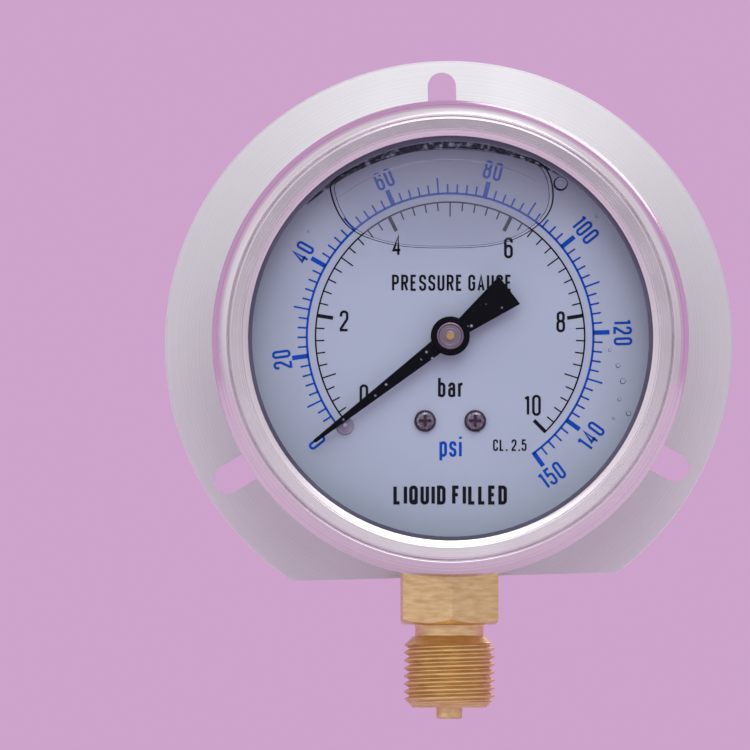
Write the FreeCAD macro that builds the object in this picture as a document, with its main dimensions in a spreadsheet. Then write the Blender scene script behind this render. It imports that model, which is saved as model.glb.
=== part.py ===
import FreeCAD, Part
import math
import os
import re

import Sketcher
from FreeCAD import Placement, Rotation, Vector

# A liquid-filled Bourdon tube pressure gauge, 100 mm nominal size, with a male stem at the bottom
# and a mounting flange behind the case.  Millimetres and degrees.
# The frame: +X towards three o'clock, +Z towards twelve o'clock, and the dial faces -Y.
# The origin is on the stem's axis at the spigot's lower end.  Angles in the dial's plane are
# counted as the reader sees them: from +X towards +Z, anticlockwise.

SIZES = {
    # heights of the two axes that run front to back
    "case_axis": 87.0,
    "dial_axis": 87.7,
    # case
    "case_radius": 50.0,
    "case_wall": 1.0,
    "case_back": 14.5,
    "case_corner": 3.0,
    "rim_front": -24.5,
    "rim_radius": 53.4,
    "stem_hole": 9.1,
    "fill_hole": 5.0,
    "fill_depth": -6.0,
    # mounting flange
    "flange_radius": 66.0,
    "flange_inner": 38.0,
    "flange_thickness": 1.5,
    "flange_chord": 54.0,
    "flange_edge": 0.35,
    "flange_turn": 1.5,
    "slot_radius": 3.3,
    "slot_outer": 60.0,
    "slot_inner": 54.0,
    "rivet_circle": 43.0,
    "rivet_radius": 2.0,
    "rivet_head": 3.6,
    "rivet_height": 1.0,
    "rivet_sink": 0.2,
    # bezel, gaskets and window
    "bezel_radius": 54.7,
    "bezel_front": -33.0,
    "bezel_lip": 46.3,
    "bezel_wall": 0.9,
    "shoulder": 6.2,
    "ramp_width": 1.35,
    "band_width": 4.1,
    "groove_width": 0.45,
    "groove_depth": 0.55,
    "bezel_curl": 51.0,
    "gasket_inner": 45.4,
    "gasket_outer": 50.4,
    "gasket_thickness": 0.8,
    "glass_radius": 51.5,
    "glass_thickness": 3.0,
    "seal_inner": 47.0,
    "seal_outer": 52.8,
    # dial
    "dial_radius": 47.8,
    "dial_thickness": 0.8,
    "dial_back": -19.7,
    "dial_hole": 2.6,
    "dial_screw_across": 5.75,
    "dial_screw_down": 19.4,
    "dial_screw_radius": 1.1,
    "dial_screw_head": 2.5,
    "dial_screw_height": 1.5,
    "cross_width": 0.36,
    "cross_length": 1.4,
    "cross_depth": 0.8,
    "spacer_radius": 2.2,
    "stop_angle": 220.4,
    "stop_circle": 31.7,
    "stop_radius": 0.55,
    "stop_washer": 2.05,
    "stop_washer_height": 0.45,
    "stop_height": 3.9,
    # pointer
    "zero_angle": 217.8,
    "pointer_length": 39.8,
    "pointer_tip": 0.42,
    "pointer_waist": 1.75,
    "tail_length": 17.2,
    "tail_waist": 2.0,
    "tail_width": 4.0,
    "pointer_thickness": 0.5,
    "pointer_back": -23.6,
    "hub_radius": 4.5,
    "hub_height": 1.1,
    "bush_radius": 1.7,
    "cap_radius": 3.1,
    "cap_sink": 0.5,
    "cap_height": 1.0,
    # socket
    "spigot_radius": 3.0,
    "spigot_length": 2.6,
    "thread_radius": 10.4775,
    "thread_pitch": 1.814,
    "thread_depth": 1.162,
    "thread_length": 16.4,
    "thread_flat": 0.25,
    "thread_bevel": 2.0,
    "relief_radius": 7.9,
    "relief_length": 2.8,
    "hex_flats": 22.0,
    "hex_corner": 1.1,
    "hex_turn": 2.6,
    "bore_radius": 1.5,
    "bore_top": 50.2,
    "neck_radius": 9.0,
    "collar_top": 35.5,
    "seal_radius": 11.4,
    "nut_seat": 41.2,
    "nut_flats": 24.0,
    "nut_height": 4.5,
    "column_width": 7.0,
    "column_depth": 5.3,
    "column_top": 62.0,
    "restrictor_radius": 2.0,
    "restrictor_length": 5.0,
    "restrictor_bore": 0.3,
    # Bourdon tube: centre line radius, flattened section, and the front angles of its ends
    "tube_radius": 37.0,
    "tube_thick": 1.8,
    "tube_wide": 4.2,
    "tube_wall": 0.45,
    "tube_middle": 0.5,
    "tube_root": 265.0,
    "tube_end": -20.0,
    "tip_length": 4.0,
    "tip_margin": 0.9,
    "arm_half": 2.0,
    "arm_thickness": 1.5,
    # movement plates
    "plates_back": -5.3,
    "plate_thickness": 1.5,
    "plate_gap": 8.0,
    "bearing_gap": 0.05,
    "pillar_radius": 2.0,
    "pillar_shank": 1.0,
    "screw_head": 1.7,
    "screw_head_height": 0.9,
    "back_screw_across": 4.6,
    "back_screw_height": 57.5,
    "back_screw_length": 5.0,
    # pinion and sector
    "gear_module": 0.4,
    "pinion_teeth": 12.0,
    "sector_teeth": 108.0,
    "centres_angle": -62.0,
    "sweep": 30.2222,
    "sector_back": -11.5,
    "sector_thickness": 1.5,
    "sector_rim": 18.6,
    "arbor_radius": 0.9,
    "sector_hub": 3.0,
    "sector_seat": 1.2,
    "tail_arm": 8.0,
    "tail_angle": -33.0,
    "tail_half": 1.7,
    # link
    "link_angle": 65.0,
    "link_length": 13.0,
    "link_half": 1.6,
    "link_thickness": 1.0,
    "link_gap": 0.2,
    "pin_radius": 0.6,
    "pin_head": 1.3,
    "open_clearance": 0.3,
    "gap_root": 0.23,
    "gap_outside": 0.66,
    # hairspring
    "spring_inner": 1.75,
    "spring_growth": 1.2,
    "spring_turns": 3.5,
    "spring_strip": 0.16,
    "spring_width": 0.8,
    "spring_back": -13.7,
}

doc = FreeCAD.newDocument("PressureGauge")
sheet = doc.addObject("Spreadsheet::Sheet", "Sizes")
for row, (alias, value) in enumerate(SIZES.items(), start=1):
    sheet.set(f"A{row}", alias)
    sheet.set(f"B{row}", str(value))
    sheet.setAlias(f"B{row}", alias)
doc.recompute()


def ref(expression):
    """Write the sheet's name before each of its aliases in an expression."""
    return re.sub(r"[a-z][a-z_]+", lambda word: cell(word[0]), expression)


def cell(word):
    return "Sizes." + word if word in SIZES else word


def value(expression):
    return float(sheet.evalExpression(ref(expression)))


def bind(item, **sizes):
    """Bind properties of an object to expressions of the sheet's cells."""
    for name, expression in sizes.items():
        item.setExpression(name.replace("__", "."), ref(expression))


def new_body(label, x="0", y="0", z="0"):
    body = doc.addObject("PartDesign::Body", label)
    bind(body, Placement__Base__x=x, Placement__Base__y=y, Placement__Base__z=z)
    return body


def origin_item(body, role):
    """A plane or axis of the body's own origin."""
    return next(item for item in body.Origin.OriginFeatures if item.Role == role)


def new_sketch(body, plane="XZ_Plane", x="0", y="0", z="0", turn=None, swing=None):
    """A sketch on one of the body's planes, moved by x, y, z.

    It can be turned within its plane, or swung about its own upright axis.
    """
    sketch = body.newObject("Sketcher::SketchObject", body.Name + "_sketch")
    sketch.AttachmentSupport = [(origin_item(body, plane), "")]
    sketch.MapMode = "FlatFace"
    angle = turn or swing
    if angle:
        axis = Vector(0, 0, 1) if turn else Vector(0, 1, 0)
        sketch.AttachmentOffset = Placement(Vector(), Rotation(axis, value(angle)))
        bind(sketch, AttachmentOffset__Rotation__Angle=angle)
    bind(sketch, AttachmentOffset__Base__x=x, AttachmentOffset__Base__y=y, AttachmentOffset__Base__z=z)
    return sketch


def pin_point(sketch, geometry, position, x, y=None):
    """Hold one point of the sketch at x, y from the sketch's origin, or only at x."""
    for kind, expression in (("DistanceX", x), ("DistanceY", y)):
        if expression is None:
            continue
        rule = sketch.addConstraint(
            Sketcher.Constraint(kind, -1, 1, geometry, position, value(expression)))
        sketch.setExpression(f"Constraints[{rule}]", ref(expression))


def hold_radius(sketch, geometry, radius):
    rule = sketch.addConstraint(Sketcher.Constraint("Radius", geometry, value(radius)))
    sketch.setExpression(f"Constraints[{rule}]", ref(radius))


def outline(sketch, corners):
    """A closed outline.  A corner is (x, y), or (x, y, radius) where it is rounded."""
    points = [Vector(value(corner[0]), value(corner[1]), 0) for corner in corners]
    count = len(points)
    arrive, leave, arcs = list(points), list(points), {}
    for i, corner in enumerate(corners):
        if len(corner) < 3:
            continue
        before = (points[i - 1] - points[i]).normalize()
        after = (points[(i + 1) % count] - points[i]).normalize()
        half = before.getAngle(after) / 2
        radius = value(corner[2])
        reach = radius / math.tan(half)
        arrive[i] = points[i] + before * reach
        leave[i] = points[i] + after * reach
        centre = points[i] + (before + after).normalize() * (radius / math.sin(half))
        left = before.cross(after).z < 0
        first, last = (arrive[i], leave[i]) if left else (leave[i], arrive[i])
        start = math.atan2(first.y - centre.y, first.x - centre.x)
        stop = math.atan2(last.y - centre.y, last.x - centre.x)
        circle = Part.Circle(centre, Vector(0, 0, 1), radius)
        arcs[i] = (Part.ArcOfCircle(circle, start, stop), left)
    lines = [sketch.addGeometry(Part.LineSegment(leave[i], arrive[(i + 1) % count]), False)
             for i in range(count)]
    for i, corner in enumerate(corners):
        if i not in arcs:
            sketch.addConstraint(Sketcher.Constraint("Coincident", lines[i - 1], 2, lines[i], 1))
            pin_point(sketch, lines[i], 1, corner[0], corner[1])
            continue
        arc, left = arcs[i]
        rounding = sketch.addGeometry(arc, False)
        begin, end = (1, 2) if left else (2, 1)
        apex = sketch.addGeometry(Part.Point(points[i]), True)
        sketch.addConstraint([
            Sketcher.Constraint("Tangent", lines[i - 1], 2, rounding, begin),
            Sketcher.Constraint("Tangent", rounding, end, lines[i], 1),
            Sketcher.Constraint("PointOnObject", apex, 1, lines[i - 1]),
            Sketcher.Constraint("PointOnObject", apex, 1, lines[i])])
        pin_point(sketch, apex, 1, corner[0], corner[1])
        hold_radius(sketch, rounding, corner[2])


def rectangle(sketch, left, right, low, high):
    outline(sketch, [(left, low), (right, low), (right, high), (left, high)])


def circle(sketch, x, y, radius):
    ring = sketch.addGeometry(
        Part.Circle(Vector(value(x), value(y), 0), Vector(0, 0, 1), value(radius)), False)
    pin_point(sketch, ring, 3, x, y)
    hold_radius(sketch, ring, radius)


def ring_sector(sketch, inner, outer, start, stop):
    """A piece of a ring between two angles in the upper half, about the sketch's origin."""
    angles = [math.radians(value(angle)) for angle in (start, stop)]
    arcs = []
    for radius in (inner, outer):
        whole = Part.Circle(Vector(), Vector(0, 0, 1), value(radius))
        arc = sketch.addGeometry(Part.ArcOfCircle(whole, *angles), False)
        sketch.addConstraint(Sketcher.Constraint("Coincident", arc, 3, -1, 1))
        hold_radius(sketch, arc, radius)
        arcs.append(arc)
    for end, (angle, expression) in enumerate(zip(angles, (start, stop)), start=1):
        ray = Vector(math.cos(angle), math.sin(angle), 0)
        side = sketch.addGeometry(
            Part.LineSegment(ray * value(inner), ray * value(outer)), False)
        sketch.addConstraint([
            Sketcher.Constraint("Coincident", side, 1, arcs[0], end),
            Sketcher.Constraint("Coincident", side, 2, arcs[1], end)])
        for point, radius in ((1, inner), (2, outer)):
            pin_point(sketch, side, point, f"({radius}) * cos({expression})")


def feature(body, kind, sketch, **sizes):
    item = body.newObject("PartDesign::" + kind, body.Name + "_" + kind.lower())
    item.Profile = sketch
    bind(item, **sizes)
    return item


def pad(body, sketch, length):
    """Material on the side the sketch faces: -Y from an XZ plane, +Z from an XY plane."""
    return feature(body, "Pad", sketch, Length=length)


def pocket(body, sketch, depth, ahead=False):
    """Cut behind the sketch, or ahead of it."""
    item = feature(body, "Pocket", sketch, Length=depth)
    item.Reversed = ahead
    return item


def turned(body, sketch, cut=False, angle="360"):
    """Turn the outline about the sketch's upright axis."""
    item = feature(body, "Groove" if cut else "Revolution", sketch)
    item.ReferenceAxis = (sketch, ["V_Axis"])
    item.Angle = value(angle)
    bind(item, Angle=angle)
    return item


def polar(body, features, count, angle="360"):
    """Repeat features about the body's front-to-back axis, clockwise for the reader."""
    pattern = body.newObject("PartDesign::PolarPattern", body.Name + "_pattern")
    pattern.Originals = features
    pattern.Axis = (origin_item(body, "Y_Axis"), [""])
    pattern.Occurrences = count
    bind(pattern, Angle=angle)
    body.Tip = pattern
    return pattern


def mirrored(body, features):
    """Repeat features across the plane of symmetry."""
    pattern = body.newObject("PartDesign::Mirrored", body.Name + "_mirrored")
    pattern.Originals = features
    pattern.MirrorPlane = (origin_item(body, "YZ_Plane"), [""])
    body.Tip = pattern
    return pattern


def plate(label, y, thickness, discs, holes, z="dial_axis"):
    """A flat round piece: a pad of circles with holes through it."""
    body = new_body(label, y=y, z=z)
    sketch = new_sketch(body)
    for disc in discs + holes:
        circle(sketch, *disc)
    pad(body, sketch, thickness)
    return body


def turned_body(label, corners, x="0", y="0", z="0"):
    """A piece turned about a front-to-back axis: corners are (radius, depth along Y)."""
    body = new_body(label, x=x, y=y, z=z)
    sketch = new_sketch(body, "XY_Plane")
    outline(sketch, corners)
    turned(body, sketch)
    return body


def case_shell():
    """A drawn cup, open to the front, with a turned-out rim, and holes for what passes its wall."""
    body = new_body("case_shell", z="case_axis")
    wall = new_sketch(body, "XY_Plane")
    inner = "case_radius - case_wall"
    floor = "case_back - case_wall"
    outline(wall, [
        ("0", floor), (inner, floor, "case_corner - case_wall"), (inner, "rim_front"),
        ("rim_radius", "rim_front"), ("rim_radius", "rim_front + case_wall"),
        ("case_radius", "rim_front + case_wall"), ("case_radius", "case_back", "case_corner"),
        ("0", "case_back")])
    turned(body, wall)
    below = new_sketch(body, "XY_Plane")
    circle(below, "0", "0", "stem_hole")
    pocket(body, below, "case_radius + 1")
    above = new_sketch(body, "XY_Plane")
    circle(above, "0", "fill_depth", "fill_hole")
    pocket(body, above, "case_radius + 1", ahead=True)
    rivet = new_sketch(body)
    circle(rivet, "rivet_circle * cos(30)", "rivet_circle * sin(30)", "rivet_radius")
    polar(body, [pocket(body, rivet, "case_back + 1")], 3)
    return body


def mounting_flange():
    """A stamped ring behind the case, a little turned, with three slots and a straight lower edge."""
    body = new_body("mounting_flange", y="case_back + flange_thickness", z="case_axis")
    disc = new_sketch(body)
    circle(disc, "0", "0", "flange_radius")
    circle(disc, "0", "0", "flange_inner")
    ring = pad(body, disc, "flange_thickness")
    slot = new_sketch(body, turn="flange_turn")
    rectangle(slot, "-slot_radius", "slot_radius", "slot_inner", "slot_outer")
    middle = pocket(body, slot, "flange_thickness", ahead=True)
    cuts = [middle]
    for end in ("slot_inner", "slot_outer"):
        round_end = new_sketch(body, turn="flange_turn")
        circle(round_end, "0", end, "slot_radius")
        cuts.append(pocket(body, round_end, "flange_thickness", ahead=True))
    polar(body, cuts, 3)
    rivet = new_sketch(body)
    circle(rivet, "rivet_circle * cos(30)", "rivet_circle * sin(30)", "rivet_radius")
    polar(body, [pocket(body, rivet, "flange_thickness", ahead=True)], 3)
    chord = new_sketch(body, turn="flange_turn")
    rectangle(chord, "-flange_radius", "flange_radius", "-flange_radius - 1", "-flange_chord")
    pocket(body, chord, "flange_thickness", ahead=True)
    edge = new_sketch(body, "XY_Plane")
    front = "-flange_thickness"
    outline(edge, [
        ("flange_radius - flange_edge", front), ("flange_radius", f"{front} + flange_edge"),
        ("flange_radius + 1", f"{front} + flange_edge"), ("flange_radius + 1", f"{front} - 1"),
        ("flange_radius - flange_edge", f"{front} - 1")])
    turned(body, edge, cut=True)
    return body


def flange_rivets():
    """Three rivets through the flange and the case's back, headed on both sides."""
    body = new_body("flange_rivets", z="case_axis")
    rivet = new_sketch(body, "XY_Plane", x="rivet_circle * cos(30)", z="rivet_circle * sin(30)")
    back = "case_back + flange_thickness"
    floor = "case_back - case_wall"
    outline(rivet, [
        ("0", f"{floor} - rivet_height"), ("rivet_head", f"{floor} - rivet_height", "rivet_height / 2"),
        ("rivet_head", floor), ("rivet_radius", floor), ("rivet_radius", f"{back} - rivet_sink"),
        ("0", f"{back} - rivet_sink")])
    polar(body, [turned(body, rivet)], 3)
    return body


def bezel_ring():
    """A pressed ring: inner lip, turned band, polished band, groove, rounded shoulder, rolled edge."""
    lip, front, back = "bezel_lip", "bezel_front", "rim_front + 2 * case_wall + 0.4"
    inside = "bezel_radius - bezel_wall"
    ramp, band = f"{lip} + ramp_width", f"{lip} + band_width"
    groove, floor = f"{band} + 0.2", f"{front} + groove_depth"
    return turned_body("bezel_ring", [
        (lip, f"{front} + 2"), (lip, f"{front} + 0.95", "0.2"),
        (f"{lip} + 0.45", f"{front} + 0.75", "0.15"), (ramp, f"{front} + 0.6"),
        (f"{ramp} + 0.15", f"{front} + 0.2", "0.25"), (band, front, "0.25"), (groove, floor, "0.1"),
        (f"{groove} + groove_width", floor, "0.1"),
        (f"{groove} + groove_width + 0.25", f"{front} + 0.15", "0.2"),
        ("bezel_radius", f"{front} + 2.05", "shoulder"), ("bezel_radius", back, "0.9"),
        ("bezel_curl", back), ("bezel_curl", "rim_front + case_wall"), (inside, "rim_front + case_wall"),
        (inside, f"{front} + 3", "1.4"), (f"{lip} + 5.5", f"{front} + 2")], z="case_axis")


def front_gasket():
    """A thin rubber ring between the bezel's lip and the window, just showing inside the lip."""
    back = "bezel_front + 2"
    return turned_body("front_gasket", [
        ("gasket_inner", f"{back} + gasket_thickness"), ("gasket_inner", back, "0.3"),
        ("gasket_outer", back), ("gasket_outer", f"{back} + gasket_thickness")], z="case_axis")


def window_glass():
    """A flat window with a small bevel at its front edge."""
    front = "bezel_front + 2 + gasket_thickness"
    return turned_body("window_glass", [
        ("0", f"{front} + glass_thickness"), ("0", front), ("glass_radius - 0.4", front),
        ("glass_radius", f"{front} + 0.4"), ("glass_radius", f"{front} + glass_thickness")],
        z="case_axis")


def window_seal():
    """A rubber ring between the window and the case's rim, with a lip inside the case's wall."""
    front = "bezel_front + 2 + gasket_thickness + glass_thickness"
    inner = "case_radius - case_wall"
    return turned_body("window_seal", [
        ("seal_inner", "rim_front + 1.5"), ("seal_inner", front, "0.5"), ("seal_outer", front, "0.5"),
        ("seal_outer", "rim_front"), (inner, "rim_front"), (inner, "rim_front + 1.5")],
        z="case_axis")


def dial_plate():
    """The printed disc, with holes for the pointer's shaft, the two screws and the stop pin."""
    down = "-dial_screw_down"
    stop = [f"stop_circle * {turn}(stop_angle)" for turn in ("cos", "sin")]
    return plate("dial_plate", "dial_back", "dial_thickness", [("0", "0", "dial_radius")], [
        ("0", "0", "dial_hole"), ("-dial_screw_across", down, "dial_screw_radius"),
        ("dial_screw_across", down, "dial_screw_radius"), (*stop, "stop_radius")])


def dial_screws():
    """Two pan head screws with cross recesses, through the dial and its spacers."""
    body = new_body("dial_screws", z="dial_axis")
    face = "dial_back - dial_thickness"
    top = f"{face} - dial_screw_height"
    end = "plates_back - plate_thickness - plate_gap"
    shape = new_sketch(body, "XY_Plane", x="-dial_screw_across", z="-dial_screw_down")
    outline(shape, [
        ("0", top), ("dial_screw_head - 0.5", f"{top} + 0.05", "1"),
        ("dial_screw_head", f"{face} - 0.6", "0.4"), ("dial_screw_head", face),
        ("dial_screw_radius", face), ("dial_screw_radius", end), ("0", end)])
    screw = turned(body, shape)
    recess = new_sketch(body, x="-dial_screw_across", y="-dial_screw_down", z=f"-({top})")
    wide, far = "cross_width", "cross_length"
    outline(recess, [
        (far, f"-{wide}"), (far, wide), (wide, wide), (wide, far), (f"-{wide}", far),
        (f"-{wide}", wide), (f"-{far}", wide), (f"-{far}", f"-{wide}"), (f"-{wide}", f"-{wide}"),
        (f"-{wide}", f"-{far}"), (wide, f"-{far}"), (wide, f"-{wide}")])
    mirrored(body, [screw, pocket(body, recess, "cross_depth")])
    return body


def dial_spacers():
    """Two bushes that hold the dial off the movement's front plate."""
    body = new_body("dial_spacers", y="plates_back - 2 * plate_thickness - plate_gap", z="dial_axis")
    ring = new_sketch(body)
    for radius in ("spacer_radius", "dial_screw_radius"):
        circle(ring, "-dial_screw_across", "-dial_screw_down", radius)
    gap = "plates_back - 2 * plate_thickness - plate_gap - dial_back"
    mirrored(body, [pad(body, ring, gap)])
    return body


def stop_pin():
    """A headed pin riveted in the dial, that the pointer comes to rest against."""
    body = new_body("stop_pin", y="dial_back - dial_thickness", z="dial_axis")
    across, up = (f"stop_circle * {turn}(stop_angle)" for turn in ("cos", "sin"))
    shape = new_sketch(body, "XY_Plane", x=across, z=up)
    outline(shape, [
        ("0", "-stop_height"), ("stop_radius", "-stop_height", "0.2"),
        ("stop_radius", "-stop_washer_height"),
        ("stop_washer", "-stop_washer_height", "stop_washer_height / 2"), ("stop_washer", "0"),
        ("stop_radius", "0"), ("stop_radius", "dial_thickness"), ("0", "dial_thickness")])
    turned(body, shape)
    return body


def socket():
    """The stem and socket in one piece: spigot, thread, relief, hexagon, neck and column."""
    body = new_body("socket")
    thread_top = "spigot_length + thread_length"
    hex_bottom = f"{thread_top} + relief_length"
    corner = "hex_flats / 2 / cos(30)"
    hexagon = new_sketch(body, "XY_Plane", z=hex_bottom, turn="hex_turn")
    outline(hexagon, [(f"{corner} * cos({60 * side + 30})", f"{corner} * sin({60 * side + 30})")
                      for side in range(6)])
    pad(body, hexagon, f"collar_top - ({hex_bottom})")
    for edge, inward in ((hex_bottom, "1"), ("collar_top", "-1")):
        bevel = new_sketch(body)
        outline(bevel, [
            (f"{corner} - 2 * hex_corner", edge), (corner, f"{edge} + {inward} * hex_corner"),
            (f"{corner} + 1", f"{edge} + {inward} * hex_corner"), (f"{corner} + 1", f"{edge} - {inward}"),
            (f"{corner} - 2 * hex_corner", f"{edge} - {inward}")])
        turned(body, bevel, cut=True)
    column = new_sketch(body, z="-column_depth")
    rectangle(column, "-column_width", "column_width", "nut_seat", "column_top")
    pad(body, column, "2 * column_depth")
    stem = new_sketch(body)
    inner = "hex_flats / 2 - 0.6"
    neck_top = "nut_seat + nut_height + 1"
    outline(stem, [
        ("0", "0"), ("spigot_radius", "0", "0.4"), ("spigot_radius", "spigot_length"),
        ("thread_radius - thread_bevel", "spigot_length"),
        ("thread_radius", "spigot_length + thread_bevel"),
        ("thread_radius", f"{thread_top} - thread_bevel"),
        ("thread_radius - thread_bevel", thread_top), ("relief_radius", thread_top, "0.3"),
        ("relief_radius", hex_bottom, "0.6"), (inner, hex_bottom), (inner, "collar_top"),
        ("neck_radius", "collar_top"), ("neck_radius", neck_top), ("0", neck_top)])
    turned(body, stem)
    groove = new_sketch(body, y="spigot_length - thread_pitch")
    root, crest = "thread_radius - thread_depth", "thread_radius + 0.3"
    flare = "thread_flat / 2 + (thread_depth + 0.3) * tan(27.5)"
    outline(groove, [
        (root, "-thread_flat / 2"), (crest, f"-({flare})"), (crest, flare), (root, "thread_flat / 2")])
    helix = feature(body, "SubtractiveHelix", groove, Pitch="thread_pitch",
                    Height="thread_length - thread_bevel + 1.4 * thread_pitch")
    helix.ReferenceAxis = (groove, ["V_Axis"])
    bore = new_sketch(body)
    outline(bore, [
        ("0", "-1"), ("restrictor_radius", "-1"), ("restrictor_radius", "restrictor_length + 1"),
        ("bore_radius", "restrictor_length + 2"), ("bore_radius", "bore_top"), ("0", "bore_top + 0.8")])
    turned(body, bore, cut=True)
    tube_seat = new_sketch(body, "XY_Plane", z="case_axis", swing="-tube_root")
    rectangle(tube_seat, "tube_radius - tube_thick", "tube_radius + tube_thick",
              "tube_middle - tube_wide", "tube_middle + tube_wide")
    turned(body, tube_seat, cut=True, angle="30")
    passage = new_sketch(body, "YZ_Plane")
    circle(passage, "0", "bore_top - 0.8", "bore_radius * 0.7")
    pocket(body, passage, "column_width - 1")
    for side in ("-1", "1"):
        hole = new_sketch(body, z="-plates_back")
        circle(hole, f"{side} * back_screw_across", "back_screw_height", "pillar_shank")
        pocket(body, hole, "back_screw_length")
    return body


def restrictor_screw():
    """A slotted throttle screw in the mouth of the bore."""
    body = new_body("restrictor_screw", z="0.6")
    shape = new_sketch(body)
    outline(shape, [
        ("restrictor_bore", "0"), ("restrictor_radius", "0"),
        ("restrictor_radius", "restrictor_length"), ("restrictor_bore", "restrictor_length")])
    turned(body, shape)
    slot = new_sketch(body, "XY_Plane")
    rectangle(slot, "-restrictor_radius", "restrictor_radius", "-restrictor_bore", "restrictor_bore")
    pocket(body, slot, "0.8", ahead=True)
    return body


def around_neck(label, near, far):
    """A ring round the socket's neck, cut away between two radii about the case's axis."""
    body = new_body(label)
    ring = new_sketch(body, "XY_Plane", z="collar_top")
    circle(ring, "0", "0", "seal_radius")
    circle(ring, "0", "0", "neck_radius")
    pad(body, ring, "nut_seat - collar_top")
    saddle = new_sketch(body, "XY_Plane", z="case_axis")
    rectangle(saddle, near, far, "-2 * seal_radius", "2 * seal_radius")
    turned(body, saddle, cut=True)
    return body


def socket_seal():
    """A rubber ring squeezed between the hexagon's top and the outside of the case's wall."""
    return around_neck("socket_seal", "0", "case_radius")


def saddle_washer():
    """A ring inside the case, shaped to its wall below and flat above, under the nut."""
    return around_neck("saddle_washer", "case_radius - case_wall - bearing_gap / 2", "case_axis")


def socket_nut():
    """The flat hexagon nut inside the case that draws the hexagon against the case."""
    body = new_body("socket_nut", z="nut_seat")
    shape = new_sketch(body, "XY_Plane")
    corner = "nut_flats / 2 / cos(30)"
    outline(shape, [(f"{corner} * cos({60 * side})", f"{corner} * sin({60 * side})")
                    for side in range(6)])
    circle(shape, "0", "0", "neck_radius")
    pad(body, shape, "nut_height")
    bevel = new_sketch(body)
    outline(bevel, [
        (f"{corner} - 2 * hex_corner", "nut_height"), (corner, "nut_height - hex_corner"),
        (f"{corner} + 1", "nut_height - hex_corner"), (f"{corner} + 1", "nut_height + 1"),
        (f"{corner} - 2 * hex_corner", "nut_height + 1")])
    turned(body, bevel, cut=True)
    return body


def fill_plug():
    """A rubber plug in the top of the case, through which it is filled, and which vents a burst."""
    body = new_body("fill_plug", y="fill_depth", z="case_axis")
    shape = new_sketch(body)
    crown, inside = "case_radius + 2.2", "case_radius - case_wall"
    outline(shape, [
        ("0", f"{inside} - 2"), ("fill_hole - 0.8", f"{inside} - 2"),
        ("fill_hole + 0.5", f"{inside} - 1.1"), ("fill_hole", f"{inside} - 0.6"),
        ("fill_hole", "case_radius"), ("fill_hole + 1.8", "case_radius"),
        ("fill_hole + 1.8", crown, "0.9"), ("0", crown)])
    turned(body, shape)
    return body


def bourdon_tube():
    """A flattened tube, bent to a C about the case's axis, open at its root and at its tip."""
    body = new_body("bourdon_tube", y="tube_middle", z="case_axis")
    section = new_sketch(body, "XY_Plane", swing="-tube_root")
    for wall in ("0", "tube_wall"):
        half, wide = f"(tube_thick - {wall})", f"(tube_wide - {wall})"
        corner = f"(tube_thick - {wall}) * 0.9"
        outline(section, [
            (f"tube_radius - {half}", f"-{wide}", corner), (f"tube_radius + {half}", f"-{wide}", corner),
            (f"tube_radius + {half}", wide, corner), (f"tube_radius - {half}", wide, corner)])
    turned(body, section, angle="tube_root - tube_end")
    return body


def sector_place():
    """The sector's axis, as expressions for X and Z: it meshes with the pinion on the dial's axis."""
    centres = "gear_module * (pinion_teeth + sector_teeth) / 2"
    return f"{centres} * cos(centres_angle)", f"dial_axis + {centres} * sin(centres_angle)"


def tail_pin():
    x, z = sector_place()
    return f"{x} + tail_arm * cos(tail_angle)", f"{z} + tail_arm * sin(tail_angle)"


def tip_pin():
    x, z = tail_pin()
    return f"{x} + link_length * cos(link_angle)", f"{z} + link_length * sin(link_angle)"


def tube_tip():
    """The end piece: a block that closes the tube, a post to the front and an arm to the link."""
    body = new_body("tube_tip", z="case_axis")
    reach = "tube_thick + tip_margin"
    block = new_sketch(body, z="-(tube_middle + tube_wide + 0.6)", turn="tube_end")
    rectangle(block, f"tube_radius - {reach}", f"tube_radius + {reach}", "-tip_length", "0")
    pad(body, block, "2 * tube_wide + 1.2")
    arm_back = "sector_back + link_gap + link_thickness + link_gap"
    post = new_sketch(body, z="-(tube_middle - tube_wide - 0.6)", turn="tube_end")
    rectangle(post, f"tube_radius - {reach}", "tube_radius", "-tip_length", "tip_length / 4")
    pad(body, post, f"tube_middle - tube_wide - 0.6 - ({arm_back})")
    x, z = tip_pin()
    arm = new_sketch(body, z=f"-({arm_back} + arm_thickness)")
    low, high = f"{z} - case_axis - arm_half", f"{z} - case_axis + arm_half"
    outline(arm, [
        (f"{x} - arm_half", low, "arm_half * 0.98"), ("tube_radius - arm_half", low),
        ("tube_radius - arm_half", high), (f"{x} - arm_half", high, "arm_half * 0.98")])
    pad(body, arm, "arm_thickness")
    hole = new_sketch(body, z=f"-({arm_back} + arm_thickness)")
    circle(hole, x, f"{z} - case_axis", "pin_radius")
    pocket(body, hole, "arm_thickness", ahead=True)
    return body


def movement_outline(sketch):
    """The outline that both of the movement's plates share."""
    outline(sketch, [
        ("-13", "55", "2"), ("14.5", "55", "3"), ("16", "68", "3"), ("15", "97", "3"),
        ("-5", "97", "4"), ("-13.5", "74", "4")])


PILLARS = (("-10", "66.5"), ("9.5", "93.2"), ("0", "61.8"))
PLATE_FRONT = "plates_back - plate_thickness - plate_gap"


def movement_plate(label, back, holes):
    body = new_body(label, y=back)
    sketch = new_sketch(body)
    movement_outline(sketch)
    for hole in holes:
        circle(sketch, *hole)
    pad(body, sketch, "plate_thickness")
    return body


def bearing_holes():
    across, up = sector_place()
    free = "arbor_radius + bearing_gap"
    return [("0", "dial_axis", free), (across, up, free)]


def back_plate():
    """The plate against the socket's column, with the rear bearings."""
    screws = [(f"{side} * back_screw_across", "back_screw_height", "pillar_shank") for side in ("-1", "1")]
    pillars = [(x, z, "pillar_shank") for x, z in PILLARS]
    return movement_plate("back_plate", "plates_back", bearing_holes() + pillars + screws)


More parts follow.
